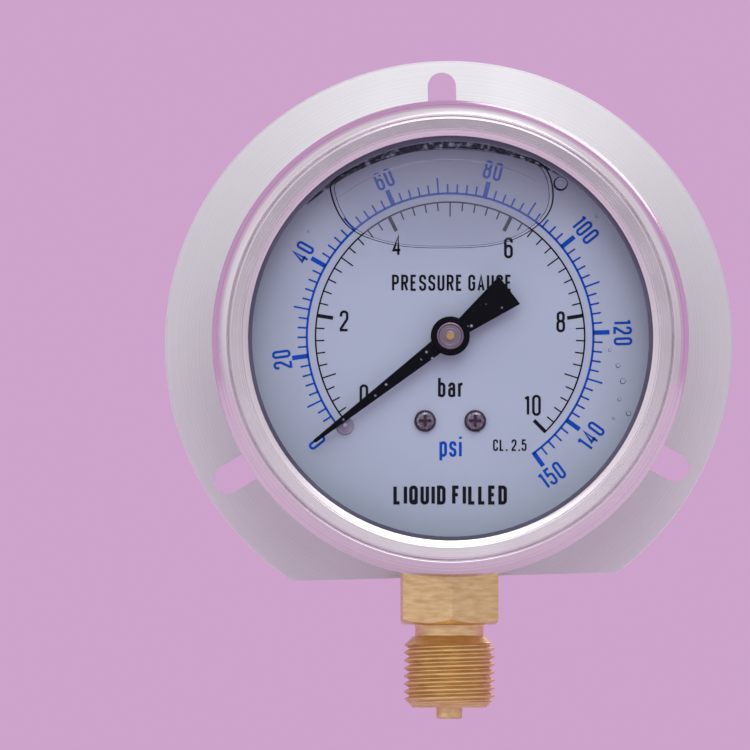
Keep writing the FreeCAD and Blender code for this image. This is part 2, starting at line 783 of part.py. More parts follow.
def front_plate():
    """The plate behind the dial, with the front bearings."""
    dial = [(f"{side} * dial_screw_across", "dial_axis - dial_screw_down", "dial_screw_radius")
            for side in ("-1", "1")]
    pillars = [(x, z, "pillar_shank") for x, z in PILLARS]
    return movement_plate("front_plate", PLATE_FRONT, bearing_holes() + pillars + dial)


def posts(label, corners, places):
    """Like pieces turned about front-to-back axes through several places."""
    body = new_body(label)
    for x, z in places:
        shape = new_sketch(body, "XY_Plane", x=x, z=z)
        outline(shape, corners)
        turned(body, shape)
    return body


def movement_pillars():
    """Three pillars that hold the plates apart, riveted in the back plate."""
    back = "plates_back - plate_thickness"
    return posts("movement_pillars", [
        ("0", "plates_back"), ("pillar_shank", "plates_back"), ("pillar_shank", back),
        ("pillar_radius", back), ("pillar_radius", PLATE_FRONT), ("0", PLATE_FRONT)], PILLARS)


def headed(start, seat, shank="pillar_shank"):
    """The outline of a cheese head screw whose head's underside is at seat."""
    top = f"{seat} - screw_head_height"
    return [("0", start), (shank, start), (shank, seat), ("screw_head", seat),
            ("screw_head", top, "0.3"), ("0.25", top), ("0.25", f"{top} + 0.4"), ("0", f"{top} + 0.4")]


def pillar_screws():
    """Three screws through the front plate into the pillars' ends."""
    return posts("pillar_screws", headed(PLATE_FRONT, f"{PLATE_FRONT} - plate_thickness"), PILLARS)


def back_screws():
    """Two screws through the back plate into the socket's column."""
    places = [(f"{side} * back_screw_across", "back_screw_height") for side in ("-1", "1")]
    seat = "plates_back - plate_thickness"
    return posts("back_screws", headed("plates_back + back_screw_length", seat), places)


def sector_gear():
    """A toothed rim on a web with a hole, the hub, and the tail that the link pulls."""
    across, up = sector_place()
    body = new_body("sector_gear", x=across, y="sector_back", z=up)
    mesh = "(centres_angle + 180)"
    first, last = f"{mesh} - sweep - 6", f"{mesh} + 5"
    tip = "gear_module * (sector_teeth / 2 + 1)"
    rim = new_sketch(body)
    ring_sector(rim, "sector_rim", tip, first, last)
    pad(body, rim, "sector_thickness")
    web = new_sketch(body, turn=f"{mesh} - sweep / 2 - 90.5")
    outline(web, [
        ("-sector_hub * 0.7", "0"), ("sector_hub * 0.7", "0"), ("6.2", "sector_rim - 0.4", "0.3"),
        ("6.2", "sector_rim + 0.6"), ("-6.2", "sector_rim + 0.6"), ("-6.2", "sector_rim - 0.4", "0.3")])
    pad(body, web, "sector_thickness")
    tail = new_sketch(body, turn="tail_angle")
    outline(tail, [
        ("0", "-tail_half"), ("tail_arm + tail_half", "-tail_half", "tail_half * 0.98"),
        ("tail_arm + tail_half", "tail_half", "tail_half * 0.98"), ("0", "tail_half")])
    pad(body, tail, "sector_thickness")
    hub = new_sketch(body)
    circle(hub, "0", "0", "sector_hub")
    pad(body, hub, "sector_thickness")
    window = new_sketch(body, turn=f"{mesh} - sweep / 2 - 90.5")
    outline(window, [
        ("-1", "6", "0.5"), ("1", "6", "0.5"), ("3.6", "sector_rim - 3", "0.8"),
        ("-3.6", "sector_rim - 3", "0.8")])
    pocket(body, window, "sector_thickness", ahead=True)
    holes = new_sketch(body)
    circle(holes, "0", "0", "sector_seat")
    circle(holes, "tail_arm * cos(tail_angle)", "tail_arm * sin(tail_angle)", "pin_radius")
    pocket(body, holes, "sector_thickness", ahead=True)
    pitch = "(360 / sector_teeth)"
    gap = new_sketch(body, turn=f"{mesh} + {pitch} / 2 - 90")
    tooth_gap(gap, "gear_module * sector_teeth / 2")
    cut = pocket(body, gap, "sector_thickness", ahead=True)
    count = math.floor((value("sweep") + 8) / value(pitch)) + 1
    polar(body, [cut], count, f"{count - 1} * {pitch}")
    return body


def tooth_gap(sketch, pitch_radius):
    """The space between two teeth: narrow at the root, wide outside the teeth's tips."""
    root = f"{pitch_radius} - gear_module * 1.3"
    outside = f"{pitch_radius} + gear_module * 1.25"
    outline(sketch, [
        ("-gap_root", root), ("gap_root", root), ("gap_outside", outside), ("-gap_outside", outside)])


def sector_arbor():
    """The sector's shaft, with a seat for the hub and shoulders that hold it between the plates."""
    across, up = sector_place()
    front = f"{PLATE_FRONT} - plate_thickness"
    return turned_body("sector_arbor", [
        ("0", "plates_back"), ("arbor_radius", "plates_back"),
        ("arbor_radius", "plates_back - plate_thickness - 0.2"),
        ("sector_hub * 0.8", "plates_back - plate_thickness - 0.2"), ("sector_hub * 0.8", "sector_back"),
        ("sector_seat", "sector_back"), ("sector_seat", f"{PLATE_FRONT} + 0.2"),
        ("arbor_radius", f"{PLATE_FRONT} + 0.2"), ("arbor_radius", front), ("0", front)],
        x=across, z=up)


def pinion_arbor():
    """The pointer's shaft, with the pinion cut in it; it runs out through the dial to the hub."""
    body = new_body("pinion_arbor", z="dial_axis")
    shape = new_sketch(body, "XY_Plane")
    tip = "gear_module * (pinion_teeth / 2 + 1)"
    back, front = "sector_back + 0.3", "sector_back - sector_thickness - 0.3"
    outline(shape, [
        ("0", "plates_back"), ("arbor_radius", "plates_back"),
        ("arbor_radius", "plates_back - plate_thickness - 0.2"),
        ("1.5", "plates_back - plate_thickness - 0.2"), ("1.5", back), (tip, back), (tip, front),
        ("arbor_radius", front), ("arbor_radius", CAP_FRONT), ("0", CAP_FRONT)])
    turned(body, shape)
    gap = new_sketch(body, turn="centres_angle - 90", z=f"-({back}) - 0.3")
    tooth_gap(gap, "gear_module * pinion_teeth / 2")
    cut = pocket(body, gap, "sector_thickness + 1.2", ahead=True)
    teeth = round(value("pinion_teeth"))
    polar(body, [cut], teeth)
    return body


HUB_BACK = "pointer_back - pointer_thickness"
CAP_FRONT = "(pointer_back - pointer_thickness - hub_height + cap_sink - cap_height)"


def pointer():
    """The blade: a long tapering arm, a disc under the hub and a flared tail."""
    body = new_body("pointer", y="pointer_back", z="dial_axis")
    blade = new_sketch(body, turn="zero_angle")
    outline(blade, [
        ("pointer_length", "0"), ("pointer_length - 0.6", "pointer_tip"),
        ("hub_radius - 0.5", "pointer_waist"), ("0.5 - hub_radius", "tail_waist"),
        ("-tail_length", "tail_width"), ("-tail_length", "-tail_width"),
        ("0.5 - hub_radius", "-tail_waist"), ("hub_radius - 0.5", "-pointer_waist"),
        ("pointer_length - 0.6", "-pointer_tip")])
    pad(body, blade, "pointer_thickness")
    disc = new_sketch(body)
    circle(disc, "0", "0", "hub_radius")
    pad(body, disc, "pointer_thickness")
    hole = new_sketch(body)
    circle(hole, "0", "0", "bush_radius")
    pocket(body, hole, "pointer_thickness", ahead=True)
    return body


def pointer_hub():
    """The boss in front of the blade, with its bush through the blade onto the shaft."""
    front = f"{HUB_BACK} - hub_height"
    return turned_body("pointer_hub", [
        ("arbor_radius", "pointer_back + 1.2"), ("bush_radius", "pointer_back + 1.2"),
        ("bush_radius", HUB_BACK), ("hub_radius", HUB_BACK), ("hub_radius", front, "0.5"),
        ("cap_radius", front), ("cap_radius", f"{front} + cap_sink"),
        ("arbor_radius", f"{front} + cap_sink")], z="dial_axis")


def pointer_cap():
    """A turned disc set in the hub, with shallow grooves; the shaft's end shows in its middle."""
    back = f"{HUB_BACK} - hub_height + cap_sink"
    front = CAP_FRONT
    return turned_body("pointer_cap", [
        ("arbor_radius", back), ("cap_radius", back), ("cap_radius", f"{front} + 0.15", "0.2"),
        ("cap_radius - 0.35", front, "0.15"), ("cap_radius - 0.6", f"{front} + 0.25"),
        ("2", f"{front} + 0.25"), ("1.85", f"{front} + 0.32"), ("1.7", f"{front} + 0.25"),
        ("1.2", f"{front} + 0.25"), ("arbor_radius", f"{front} + 0.1")], z="dial_axis")


def hairspring_collet():
    """The ring on the pinion's shaft that holds the hairspring's inner end."""
    return turned_body("hairspring_collet", [
        ("arbor_radius", "spring_back + 0.1"), ("spring_inner - 0.1", "spring_back + 0.1"),
        ("spring_inner - 0.1", f"{PLATE_FRONT} + 0.15"), ("arbor_radius", f"{PLATE_FRONT} + 0.15")],
        z="dial_axis")


def hairspring_end():
    return "spring_inner + spring_growth * spring_turns"


def hairspring():
    """A flat spiral that takes up the backlash between the sector and the pinion."""
    inner, outer = value("spring_inner"), value(hairspring_end())
    turns, strip = value("spring_turns"), value("spring_strip")
    steps = 12
    sides = []
    for offset in (0, strip):
        points = []
        for step in range(round(turns * steps) + 1):
            share = step / (turns * steps)
            angle = 2 * math.pi * turns * share
            radius = inner + (outer - inner) * share + offset
            points.append(Vector(radius * math.cos(angle), 0, radius * math.sin(angle)))
        curve = Part.BSplineCurve()
        curve.interpolate(points)
        sides.append(curve.toShape())
    starts = [side.Vertexes[0].Point for side in sides]
    ends = [side.Vertexes[-1].Point for side in sides]
    caps = [Part.makeLine(*starts), Part.makeLine(*ends)]
    face = Part.Face(Part.Wire(Part.__sortEdges__(sides + caps)))
    item = doc.addObject("Part::Feature", "hairspring")
    item.Shape = face.extrude(Vector(0, -value("spring_width"), 0))
    item.Placement = Placement(Vector(0, value("spring_back"), value("dial_axis")), Rotation())
    return item


def hairspring_stud():
    """The peg on the front plate that holds the hairspring's outer end."""
    side = f"cos(360 * spring_turns) * ({hairspring_end()} + spring_strip + 0.5)"
    return turned_body("hairspring_stud", [
        ("0", "spring_back + 0.2"), ("0.5", "spring_back + 0.2"), ("0.5", PLATE_FRONT),
        ("0", PLATE_FRONT)], x=side, z="dial_axis")


def link_bar():
    """A flat bar with an eye at each end: close on the tube's pin, free on the sector's."""
    x, z = tail_pin()
    body = new_body("link_bar", x=x, y="sector_back + link_gap + link_thickness", z=z)
    bar = new_sketch(body, turn="link_angle")
    near, far = "-link_half", "link_length + link_half"
    outline(bar, [
        (near, "-link_half", "link_half * 0.98"), (far, "-link_half", "link_half * 0.98"),
        (far, "link_half", "link_half * 0.98"), (near, "link_half", "link_half * 0.98")])
    circle(bar, "0", "0", "pin_radius + open_clearance")
    circle(bar, "link_length", "0", "pin_radius + bearing_gap")
    pad(body, bar, "link_thickness")
    return body


def link_screw():
    """The sector's pin: from behind, through the link's free eye, into the tail."""
    x, z = tail_pin()
    seat = "sector_back + link_thickness + 2 * link_gap"
    return turned_body("link_screw", [
        ("0", "sector_back - sector_thickness"), ("pin_radius", "sector_back - sector_thickness"),
        ("pin_radius", seat), ("pin_head", seat), ("pin_head", f"{seat} + screw_head_height", "0.2"),
        ("0", f"{seat} + screw_head_height")], x=x, z=z)


def tip_screw():
    """The tube's pin: from the front, through the link's other eye, into the end piece's arm."""
    x, z = tip_pin()
    arm = "sector_back + link_thickness + 2 * link_gap"
    return turned_body("tip_screw", [
        ("0", f"{arm} + arm_thickness"), ("pin_radius", f"{arm} + arm_thickness"),
        ("pin_radius", "sector_back"), ("pin_head", "sector_back"),
        ("pin_head", "sector_back - screw_head_height", "0.2"), ("0", "sector_back - screw_head_height")],
        x=x, z=z)


SUBPARTS = [
    case_shell, mounting_flange, flange_rivets, bezel_ring, front_gasket, window_glass, window_seal,
    fill_plug, socket, socket_seal, saddle_washer, socket_nut, restrictor_screw, dial_plate,
    dial_screws, dial_spacers, stop_pin, back_plate, front_plate, movement_pillars, pillar_screws,
    back_screws, bourdon_tube, tube_tip, tip_screw, link_bar, link_screw, sector_gear, sector_arbor,
    pinion_arbor, hairspring, hairspring_collet, hairspring_stud, pointer, pointer_hub, pointer_cap,
]

parts = [make() for make in SUBPARTS]
doc.recompute()

for item in doc.Objects:
    if "Invalid" in item.State or "Error" in item.State:
        raise RuntimeError(f"{item.Label} did not compute: {item.State}")
os.makedirs("parts", exist_ok=True)
for part in parts:
    if part.Shape.isNull() or not part.Shape.isValid():
        raise RuntimeError(f"{part.Label} has no valid shape")
    part.Shape.exportStep(f"parts/{part.Label}.step")
    print(part.Label, len(part.Shape.Solids), "solids", round(part.Shape.Volume, 1), "mm3")
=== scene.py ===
from math import cos, pi, radians, sin, tan

import bmesh
import bpy
from mathutils import Matrix, Vector

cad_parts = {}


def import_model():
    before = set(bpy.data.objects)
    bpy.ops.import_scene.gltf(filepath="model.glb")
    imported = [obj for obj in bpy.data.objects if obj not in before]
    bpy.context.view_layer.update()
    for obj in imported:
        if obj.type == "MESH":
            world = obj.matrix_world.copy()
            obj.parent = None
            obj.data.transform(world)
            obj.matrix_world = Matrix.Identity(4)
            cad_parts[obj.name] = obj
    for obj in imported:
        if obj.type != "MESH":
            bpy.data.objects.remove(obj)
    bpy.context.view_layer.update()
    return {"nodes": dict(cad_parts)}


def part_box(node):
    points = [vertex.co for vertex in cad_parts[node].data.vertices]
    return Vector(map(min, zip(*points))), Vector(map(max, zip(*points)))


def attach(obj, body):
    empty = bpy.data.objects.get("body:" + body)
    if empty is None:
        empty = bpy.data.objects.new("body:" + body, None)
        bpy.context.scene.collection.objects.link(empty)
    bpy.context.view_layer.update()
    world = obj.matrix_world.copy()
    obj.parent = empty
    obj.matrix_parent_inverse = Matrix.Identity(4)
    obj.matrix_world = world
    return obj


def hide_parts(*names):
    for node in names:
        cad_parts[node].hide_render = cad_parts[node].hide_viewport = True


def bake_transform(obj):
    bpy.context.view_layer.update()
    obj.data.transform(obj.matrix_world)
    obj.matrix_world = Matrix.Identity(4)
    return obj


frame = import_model()

# The looks of a liquid-filled pressure gauge.  Metres; +X to the reader's right, +Z up, the dial faces -Y.
# Angles in the dial's plane are counted from +X towards +Z.

MM = 0.001
NODES = frame["nodes"]


def middle(node):
    low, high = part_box(node)
    return (low + high) / 2


CASE_Z = middle("bezel_ring").z
DIAL_Z = middle("dial_plate").z
DIAL_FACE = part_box("dial_plate")[0].y
GLASS_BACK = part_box("window_glass")[1].y

# The dial's two scales: clockwise from the zero angle.
ZERO = 225.0
DEGREES_PER_BAR = 27.0
DEGREES_PER_PSI = 1.862
SCALE_START = 217.0
BAR_END = 10
PSI_END = 150
BAR_ARC = 30.9 * MM
PSI_ARC = 32.9 * MM
BAR_ARC_WIDTH = 0.37 * MM
PSI_ARC_WIDTH = 0.51 * MM
PSI_NUMERALS = 39.3 * MM
PSI_NUMERAL_SHIFT = Vector((0.35 * MM, 0))
PSI_ZERO_NUMERAL = 218.2
INK = 0.03 * MM


# ---------------------------------------------------------------- materials

class Tree:
    """A material's nodes, with short calls for the few kinds this object needs."""

    def __init__(self, name):
        self.material = bpy.data.materials.new(name)
        self.material.use_nodes = True
        self.nodes = self.material.node_tree.nodes
        self.links = self.material.node_tree.links
        self.shader = self.nodes["Principled BSDF"]
        self.place = self.nodes.new("ShaderNodeTexCoord").outputs["Object"]

    def add(self, kind, inputs=None, **settings):
        node = self.nodes.new("ShaderNode" + kind)
        for name, setting in settings.items():
            setattr(node, name, setting)
        for name, given in (inputs or {}).items():
            self.put(node.inputs[name], given)
        return node

    def put(self, socket, given):
        if isinstance(given, bpy.types.NodeSocket):
            self.links.new(given, socket)
        else:
            socket.default_value = given

    def set(self, **inputs):
        for name, given in inputs.items():
            self.put(self.shader.inputs[name.replace("_", " ")], given)

    def math(self, operation, *values):
        return self.add("Math", dict(enumerate(values)), operation=operation).outputs[0]

    def stretched(self, *scale):
        return self.add("Mapping", {"Vector": self.place, "Scale": scale}).outputs[0]

    def noise(self, scale, detail=3.0, place=None):
        inputs = {"Vector": place or self.place, "Scale": scale, "Detail": detail}
        return self.add("TexNoise", inputs).outputs["Fac"]

    def spread(self, fac, low, high, start=0.3, stop=0.7):
        inputs = {"Value": fac, "From Min": start, "From Max": stop, "To Min": low, "To Max": high}
        return self.add("MapRange", inputs).outputs["Result"]

    def blend(self, fac, first, second):
        node = self.add("Mix", data_type="RGBA")
        for index, given in ((0, fac), (6, first), (7, second)):
            self.put(node.inputs[index], given)
        return node.outputs[2]

    def turned(self, scale, z):
        """Noise that varies only with the distance from a front-to-back axis, as on a turned face."""
        parts = self.add("SeparateXYZ", {0: self.place}).outputs
        height = self.math("SUBTRACT", parts[2], z)
        squares = self.math("ADD", self.math("POWER", parts[0], 2.0), self.math("POWER", height, 2.0))
        radius = self.math("SQRT", squares)
        inputs = {"W": self.math("MULTIPLY", radius, scale), "Scale": 1.0, "Detail": 4.0}
        return self.add("TexNoise", inputs, noise_dimensions="1D").outputs["Fac"]

    def outward(self, z):
        """The direction away from a front-to-back axis at height z, across a turned face's scratches."""
        parts = self.add("SeparateXYZ", {0: self.place}).outputs
        return self.add("CombineXYZ", {0: parts[0], 2: self.math("SUBTRACT", parts[2], z)}).outputs[0]

    def bump(self, height, distance):
        bumped = self.add("Bump", {"Height": height, "Distance": distance, "Strength": 1.0})
        self.set(Normal=bumped.outputs["Normal"])


def colour(red, green, blue):
    """A colour given as it looks on a screen, from 0 to 255, as the shader needs it."""
    def linear(part):
        part /= 255
        return part / 12.92 if part <= 0.04045 else ((part + 0.055) / 1.055) ** 2.4
    return linear(red), linear(green), linear(blue), 1.0


def brushed_metal(name, base, dull, rough, grain, streak, bump):
    """Rolled or drawn metal: blotches of another shade, and fine scratches along one direction."""
    tree = Tree(name)
    blotches = tree.noise(60.0, 4.0)
    scratches = tree.noise(1.0, 6.0, tree.stretched(*streak))
    tree.set(Metallic=1.0, Base_Color=tree.blend(tree.spread(blotches, 0.0, 1.0), base, dull))
    wear = tree.math("ADD", tree.spread(scratches, -grain, grain), tree.spread(blotches, -grain, grain))
    tree.set(Roughness=tree.math("ADD", wear, rough))
    tree.bump(scratches, bump)
    return tree.material


def turned_metal(name, base, dull, rough, z, scale=3000.0, bump=2e-6, streaks=0.0):
    """Metal turned or spun about a front-to-back axis at height z: rings of slightly different finish."""
    tree = Tree(name)
    rings = tree.turned(scale, z)
    blotches = tree.noise(90.0, 3.0)
    if streaks:
        tree.set(Anisotropic=streaks, Tangent=tree.outward(z))
    tree.set(Metallic=1.0, Base_Color=tree.blend(tree.spread(rings, 0.0, 1.0), base, dull))
    finish = tree.math("ADD", tree.spread(rings, -0.04, 0.05), tree.spread(blotches, -0.03, 0.03))
    tree.set(Roughness=tree.math("ADD", finish, rough))
    tree.bump(rings, bump)
    return tree.material


def lathe_brass(name, base, dull, rough):
    """Machined brass: tool rings along the stem's axis, soft tarnish and small nicks."""
    tree = Tree(name)
    tool = tree.noise(1.0, 2.0, tree.stretched(60.0, 60.0, 9000.0))
    tarnish = tree.noise(1.0, 5.0, tree.stretched(260.0, 260.0, 1300.0))
    tree.set(Metallic=1.0, Base_Color=tree.blend(tree.spread(tarnish, 0.0, 1.0), base, dull))
    finish = tree.math("ADD", tree.spread(tool, -0.06, 0.06), tree.spread(tarnish, -0.05, 0.1))
    tree.set(Roughness=tree.math("ADD", finish, rough))
    tree.bump(tree.math("ADD", tool, tarnish), 6e-6)
    return tree.material


def rubber(name):
    """Black rubber with a fine grain and some dust."""
    tree = Tree(name)
    grain = tree.noise(2500.0, 3.0)
    dust = tree.spread(tree.noise(300.0, 6.0), 0.0, 1.0, 0.55, 0.75)
    tree.set(Base_Color=tree.blend(dust, colour(30, 28, 36), colour(62, 58, 70)), Roughness=0.62)
    tree.bump(grain, 1e-5)
    return tree.material


def screw_metal(name, front, depth):
    """A plated screw: its plated colour on the head's crown, and painted shade, darker and browner, in the
    recess and round the rim.
    """
    tree = Tree(name)
    y = tree.add("SeparateXYZ", {0: tree.place}).outputs[1]
    # Painted shade: the colour darkens with depth behind the head's front, in the cross recess and down the
    # head's side.
    shade_by_depth = tree.spread(y, 0.0, 1.0, front + 0.1 * depth, front + depth)
    scuffs = tree.noise(1400.0, 4.0)
    crown = tree.blend(tree.spread(scuffs, 0.0, 1.0), colour(168, 156, 162), colour(104, 90, 98))
    rim = tree.blend(tree.spread(scuffs, 0.0, 1.0), colour(104, 84, 88), colour(62, 50, 60))
    tree.set(Metallic=1.0, Base_Color=tree.blend(shade_by_depth, crown, rim), Roughness=tree.spread(scuffs, 0.2, 0.4))
    tree.bump(scuffs, 1.2e-5)
    return tree.material


def painted(name, base, shade, rough, grain, bump, gloss=0.5):
    """Sprayed or printed paint with a faint orange peel."""
    tree = Tree(name)
    tree.set(Specular_IOR_Level=gloss)
    clouds = tree.spread(tree.noise(40.0, 4.0), 0.0, 1.0)
    tree.set(Base_Color=tree.blend(clouds, base, shade))
    tree.set(Roughness=tree.spread(tree.noise(grain), rough - 0.05, rough + 0.05))
    tree.bump(tree.noise(grain), bump)
    return tree.material


def pointer_paint(name):
    """Black paint with a few small bright flecks."""
    tree = Tree(name)
    cells = tree.add("TexVoronoi", {"Vector": tree.place, "Scale": 620.0})
    near = tree.spread(cells.outputs["Distance"], 1.0, 0.0, 0.12, 0.26)
    chosen = tree.spread(cells.outputs["Color"], 0.0, 1.0, 0.62, 0.7)
    fleck = tree.math("MULTIPLY", near, chosen)
    tree.set(Base_Color=tree.blend(fleck, colour(5, 4, 8), colour(190, 186, 196)))
    tree.set(Roughness=tree.spread(tree.noise(700.0), 0.36, 0.5), Specular_IOR_Level=0.07)
    tree.bump(tree.noise(1800.0), 4e-6)
    return tree.material


def clear(name, tint, gloss=1.45, painted_share=0.0, painted_colour=(1, 1, 1, 1)):
    """Glass or liquid that lets lamps through: clear, a reflection on its outer side, and a diffuse layer of
    painted light, painted shade where its colour is dark and a painted highlight where it is pale.
    """
    tree = Tree(name)
    waves = tree.add("Bump", {"Height": tree.noise(120.0), "Distance": 2e-6}).outputs["Normal"]
    through = tree.add("BsdfTransparent", {"Color": tint}).outputs[0]
    # Painted light: a diffuse layer in the given colour, mixed into the clear body.
    painted_layer = tree.add("BsdfDiffuse", {"Color": painted_colour}).outputs[0]
    body = tree.add("MixShader", {0: painted_share, 1: through, 2: painted_layer}).outputs[0]
    mirror = tree.add("BsdfGlossy", {"Roughness": 0.02, "Normal": waves}).outputs[0]
    edge = tree.add("Fresnel", {"IOR": gloss, "Normal": waves}).outputs[0]
    outside = tree.math("SUBTRACT", 1.0, tree.add("NewGeometry").outputs["Backfacing"])
    mixed = tree.add("MixShader", {0: tree.math("MULTIPLY", edge, outside), 1: body, 2: mirror}).outputs[0]
    tree.links.new(mixed, tree.nodes["Material Output"].inputs["Surface"])
    return tree.material


STEEL = colour(226, 222, 226)
STEEL_DULL = colour(208, 202, 208)
SCREW_RECESS = 0.45 * MM
FINISHES = {
    "case_steel": brushed_metal("case_steel", STEEL, STEEL_DULL, 0.3, 0.05, (30, 4000, 30), 3e-6),
    "flange_steel": turned_metal("flange_steel", colour(236, 238, 238), colour(222, 222, 224), 0.48, CASE_Z,
                                 6000.0, 5e-8, 0.6),
    "bezel_steel": turned_metal("bezel_steel", colour(232, 226, 230), colour(218, 210, 216), 0.22, CASE_Z,
                                bump=8e-7),
    "small_steel": brushed_metal("small_steel", STEEL_DULL, colour(160, 150, 156), 0.32, 0.08,
                                 (400, 400, 400), 6e-6),
    "screw_steel": screw_metal("screw_steel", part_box("dial_screws")[0].y, SCREW_RECESS),
    "black_rubber": rubber("black_rubber"),
    "window": clear("window", colour(248, 250, 255)),
    "socket_brass": lathe_brass("socket_brass", colour(234, 210, 156), colour(214, 182, 126), 0.36),
    "movement_brass": lathe_brass("movement_brass", colour(226, 190, 112), colour(200, 160, 90), 0.3),
    "tube_bronze": lathe_brass("tube_bronze", colour(204, 150, 104), colour(170, 118, 78), 0.34),
    "spring_bronze": lathe_brass("spring_bronze", colour(214, 170, 116), colour(180, 136, 88), 0.3),
    "dial_white": painted("dial_white", colour(200, 208, 210), colour(194, 202, 206), 0.42, 900.0, 3e-6, 0.2),
    "pointer_black": pointer_paint("pointer_black"),
    "cap_aluminium": turned_metal("cap_aluminium", colour(152, 136, 140), colour(132, 116, 122), 0.38,
                                  DIAL_Z, 5000.0, 1.5e-6),
}
OWN_FINISHES = {
    "stop_pin": FINISHES["small_steel"],
    "front_gasket": painted("grey_rubber", colour(92, 92, 112), colour(74, 74, 92), 0.6, 2500.0, 8e-6, 0.2),
}
BLACK_INK = painted("black_ink", colour(16, 14, 20), colour(26, 24, 32), 0.5, 1500.0, 2e-6, 0.1)
BLUE_INK = painted("blue_ink", colour(0, 78, 180), colour(6, 88, 194), 0.5, 1500.0, 2e-6, 0.1)


for name, node in NODES.items():
    node.data.materials[0] = OWN_FINISHES.get(name, FINISHES[node.data.materials[0].name])


# ---------------------------------------------------------------- mesh helpers

def piece(name, bm, finish, body="case", smooth=False):
    """Make a piece from mesh work, give it a finish and let it ride on a CAD body, if one is named."""
    bmesh.ops.recalc_face_normals(bm, faces=bm.faces)
    mesh = bpy.data.meshes.new(name)
    bm.to_mesh(mesh)
    bm.free()
    mesh.materials.append(finish)
    if smooth:
        mesh.shade_smooth()
    made = bpy.data.objects.new(name, mesh)
    bpy.context.scene.collection.objects.link(made)
    if body:
        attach(made, body)
    return made


def polar(radius, degrees):
    return Vector((radius * cos(radians(degrees)), radius * sin(radians(degrees))))


def rounded(corners, closed=False, step=radians(15)):
    """Points along a path of (x, z, radius) corners, with an arc at each corner that has a radius."""
    points = []
    last = len(corners) - 1
    for i, (x, z, radius) in enumerate(corners):
        here = Vector((x, z))
        if not radius or (not closed and i in (0, last)):
            points.append(here)
            continue
        before = (Vector(corners[i - 1][:2]) - here).normalized()
        after = (Vector(corners[(i + 1) % len(corners)][:2]) - here).normalized()
        half = before.angle(after) / 2
        centre = here + (before + after).normalized() * (radius / sin(half))
        start = here + before * (radius / tan(half)) - centre
        turn = (pi - 2 * half) * (1 if before.cross(after) < 0 else -1)
        steps = max(2, round(abs(turn) / step))
        points += [centre + Matrix.Rotation(turn * k / steps, 2) @ start for k in range(steps + 1)]
    return points


def ribbon(bm, points, width, front, back, closed=False):
    """A flat strip along a path of (x, z) points, as a solid between two depths.

    Its width is one number, or a list with a width for each point.
    """
    count = len(points)
    widths = width if isinstance(width, list) else [width] * count
    rings = []
    for i, here in enumerate(points):
        before = here - points[i - 1] if closed or i else points[1] - here
        after = points[(i + 1) % count] - here if closed or i < count - 1 else before
        before, after = before.normalized(), after.normalized()
        along = (before + after).normalized()
        side = Vector((-along.y, along.x))
        reach = widths[i] / 2 / max(0.5, side.dot(Vector((-before.y, before.x))))
        edges = here + side * reach, here - side * reach
        rings.append([bm.verts.new((p.x, y, p.y)) for p, y in zip(
            (edges[0], edges[1], edges[1], edges[0]), (front, front, back, back))])
    for one, two in zip(rings, rings[1:] + rings[:closed]):
        for k in range(4):
            bm.faces.new((one[k], one[k - 1], two[k - 1], two[k]))
    if not closed:
        bm.faces.new(rings[0])
        bm.faces.new(rings[-1])


def disc(bm, centre, radius, front, back, steps=16):
    """A thin round disc about a point (x, z), as a solid between two depths."""
    sides = [polar(radius, 360 * k / steps) + centre for k in range(steps)]
    rims = [[bm.verts.new((p.x, depth, p.y)) for p in sides] for depth in (front, back)]
    middles = [bm.verts.new((centre.x, depth, centre.y)) for depth in (front, back)]
    for k in range(steps):
        bm.faces.new((rims[0][k - 1], rims[0][k], rims[1][k], rims[1][k - 1]))
        for middle_point, rim in zip(middles, rims):
            bm.faces.new((middle_point, rim[k - 1], rim[k]))


# ---------------------------------------------------------------- the dial's print

INK_FRONT = DIAL_FACE - INK
INK_BACK = DIAL_FACE + INK
LAYER = 0.004 * MM    # between strokes that cross


def on_dial(point):
    """From the dial's own centre to the frame."""
    return point + Vector((0, DIAL_Z))


def arc(bm, radius, start, stop, width):
    steps = round(abs(start - stop))
    points = [on_dial(polar(radius, start + (stop - start) * k / steps)) for k in range(steps + 1)]
    ribbon(bm, points, width, INK_FRONT, INK_BACK)


def tick(bm, angle, radius, length, width, round_end=False):
    """A radial mark from the arc, inwards where its length is negative."""
    ends = [polar(radius, angle), polar(radius + length, angle)]
    ribbon(bm, [on_dial(p) for p in ends], width, INK_FRONT, INK_BACK)
    if round_end:
        disc(bm, on_dial(ends[1]), width / 2, INK_FRONT, INK_BACK)


def bar_scale():
    """The inner scale: every 0.2 bar from 0.4, longer at each bar, thick at each second bar."""
    bm = bmesh.new()
    arc(bm, BAR_ARC, SCALE_START, ZERO - BAR_END * DEGREES_PER_BAR - 0.6, BAR_ARC_WIDTH)
    for count in range(2, 5 * BAR_END + 1):
        length, width = 2.0, 0.32
        if count % 5 == 0:
            length = 3.3
        if count % 10 == 0:
            length, width = 3.7, 0.85
        tick(bm, ZERO - DEGREES_PER_BAR * count / 5, BAR_ARC, -length * MM, width * MM)
    piece("scale_bar", bm, BLACK_INK)


def psi_scale():
    """The outer scale: every 2 psi from 6, longer at each 10, thick at each 20 and at the end."""
    bm = bmesh.new()
    arc(bm, PSI_ARC, SCALE_START, ZERO - PSI_END * DEGREES_PER_PSI - 0.8, PSI_ARC_WIDTH)
    for psi in range(6, PSI_END + 1, 2):
        length, width = 2.0, 0.4
        if psi % 10 == 0:
            length = 3.5
        if psi % 20 == 0 or psi == PSI_END:
            length, width = 3.7, 1.05
        tick(bm, ZERO - DEGREES_PER_PSI * psi, PSI_ARC, length * MM, width * MM, width < 1)
    piece("scale_psi", bm, BLUE_INK)


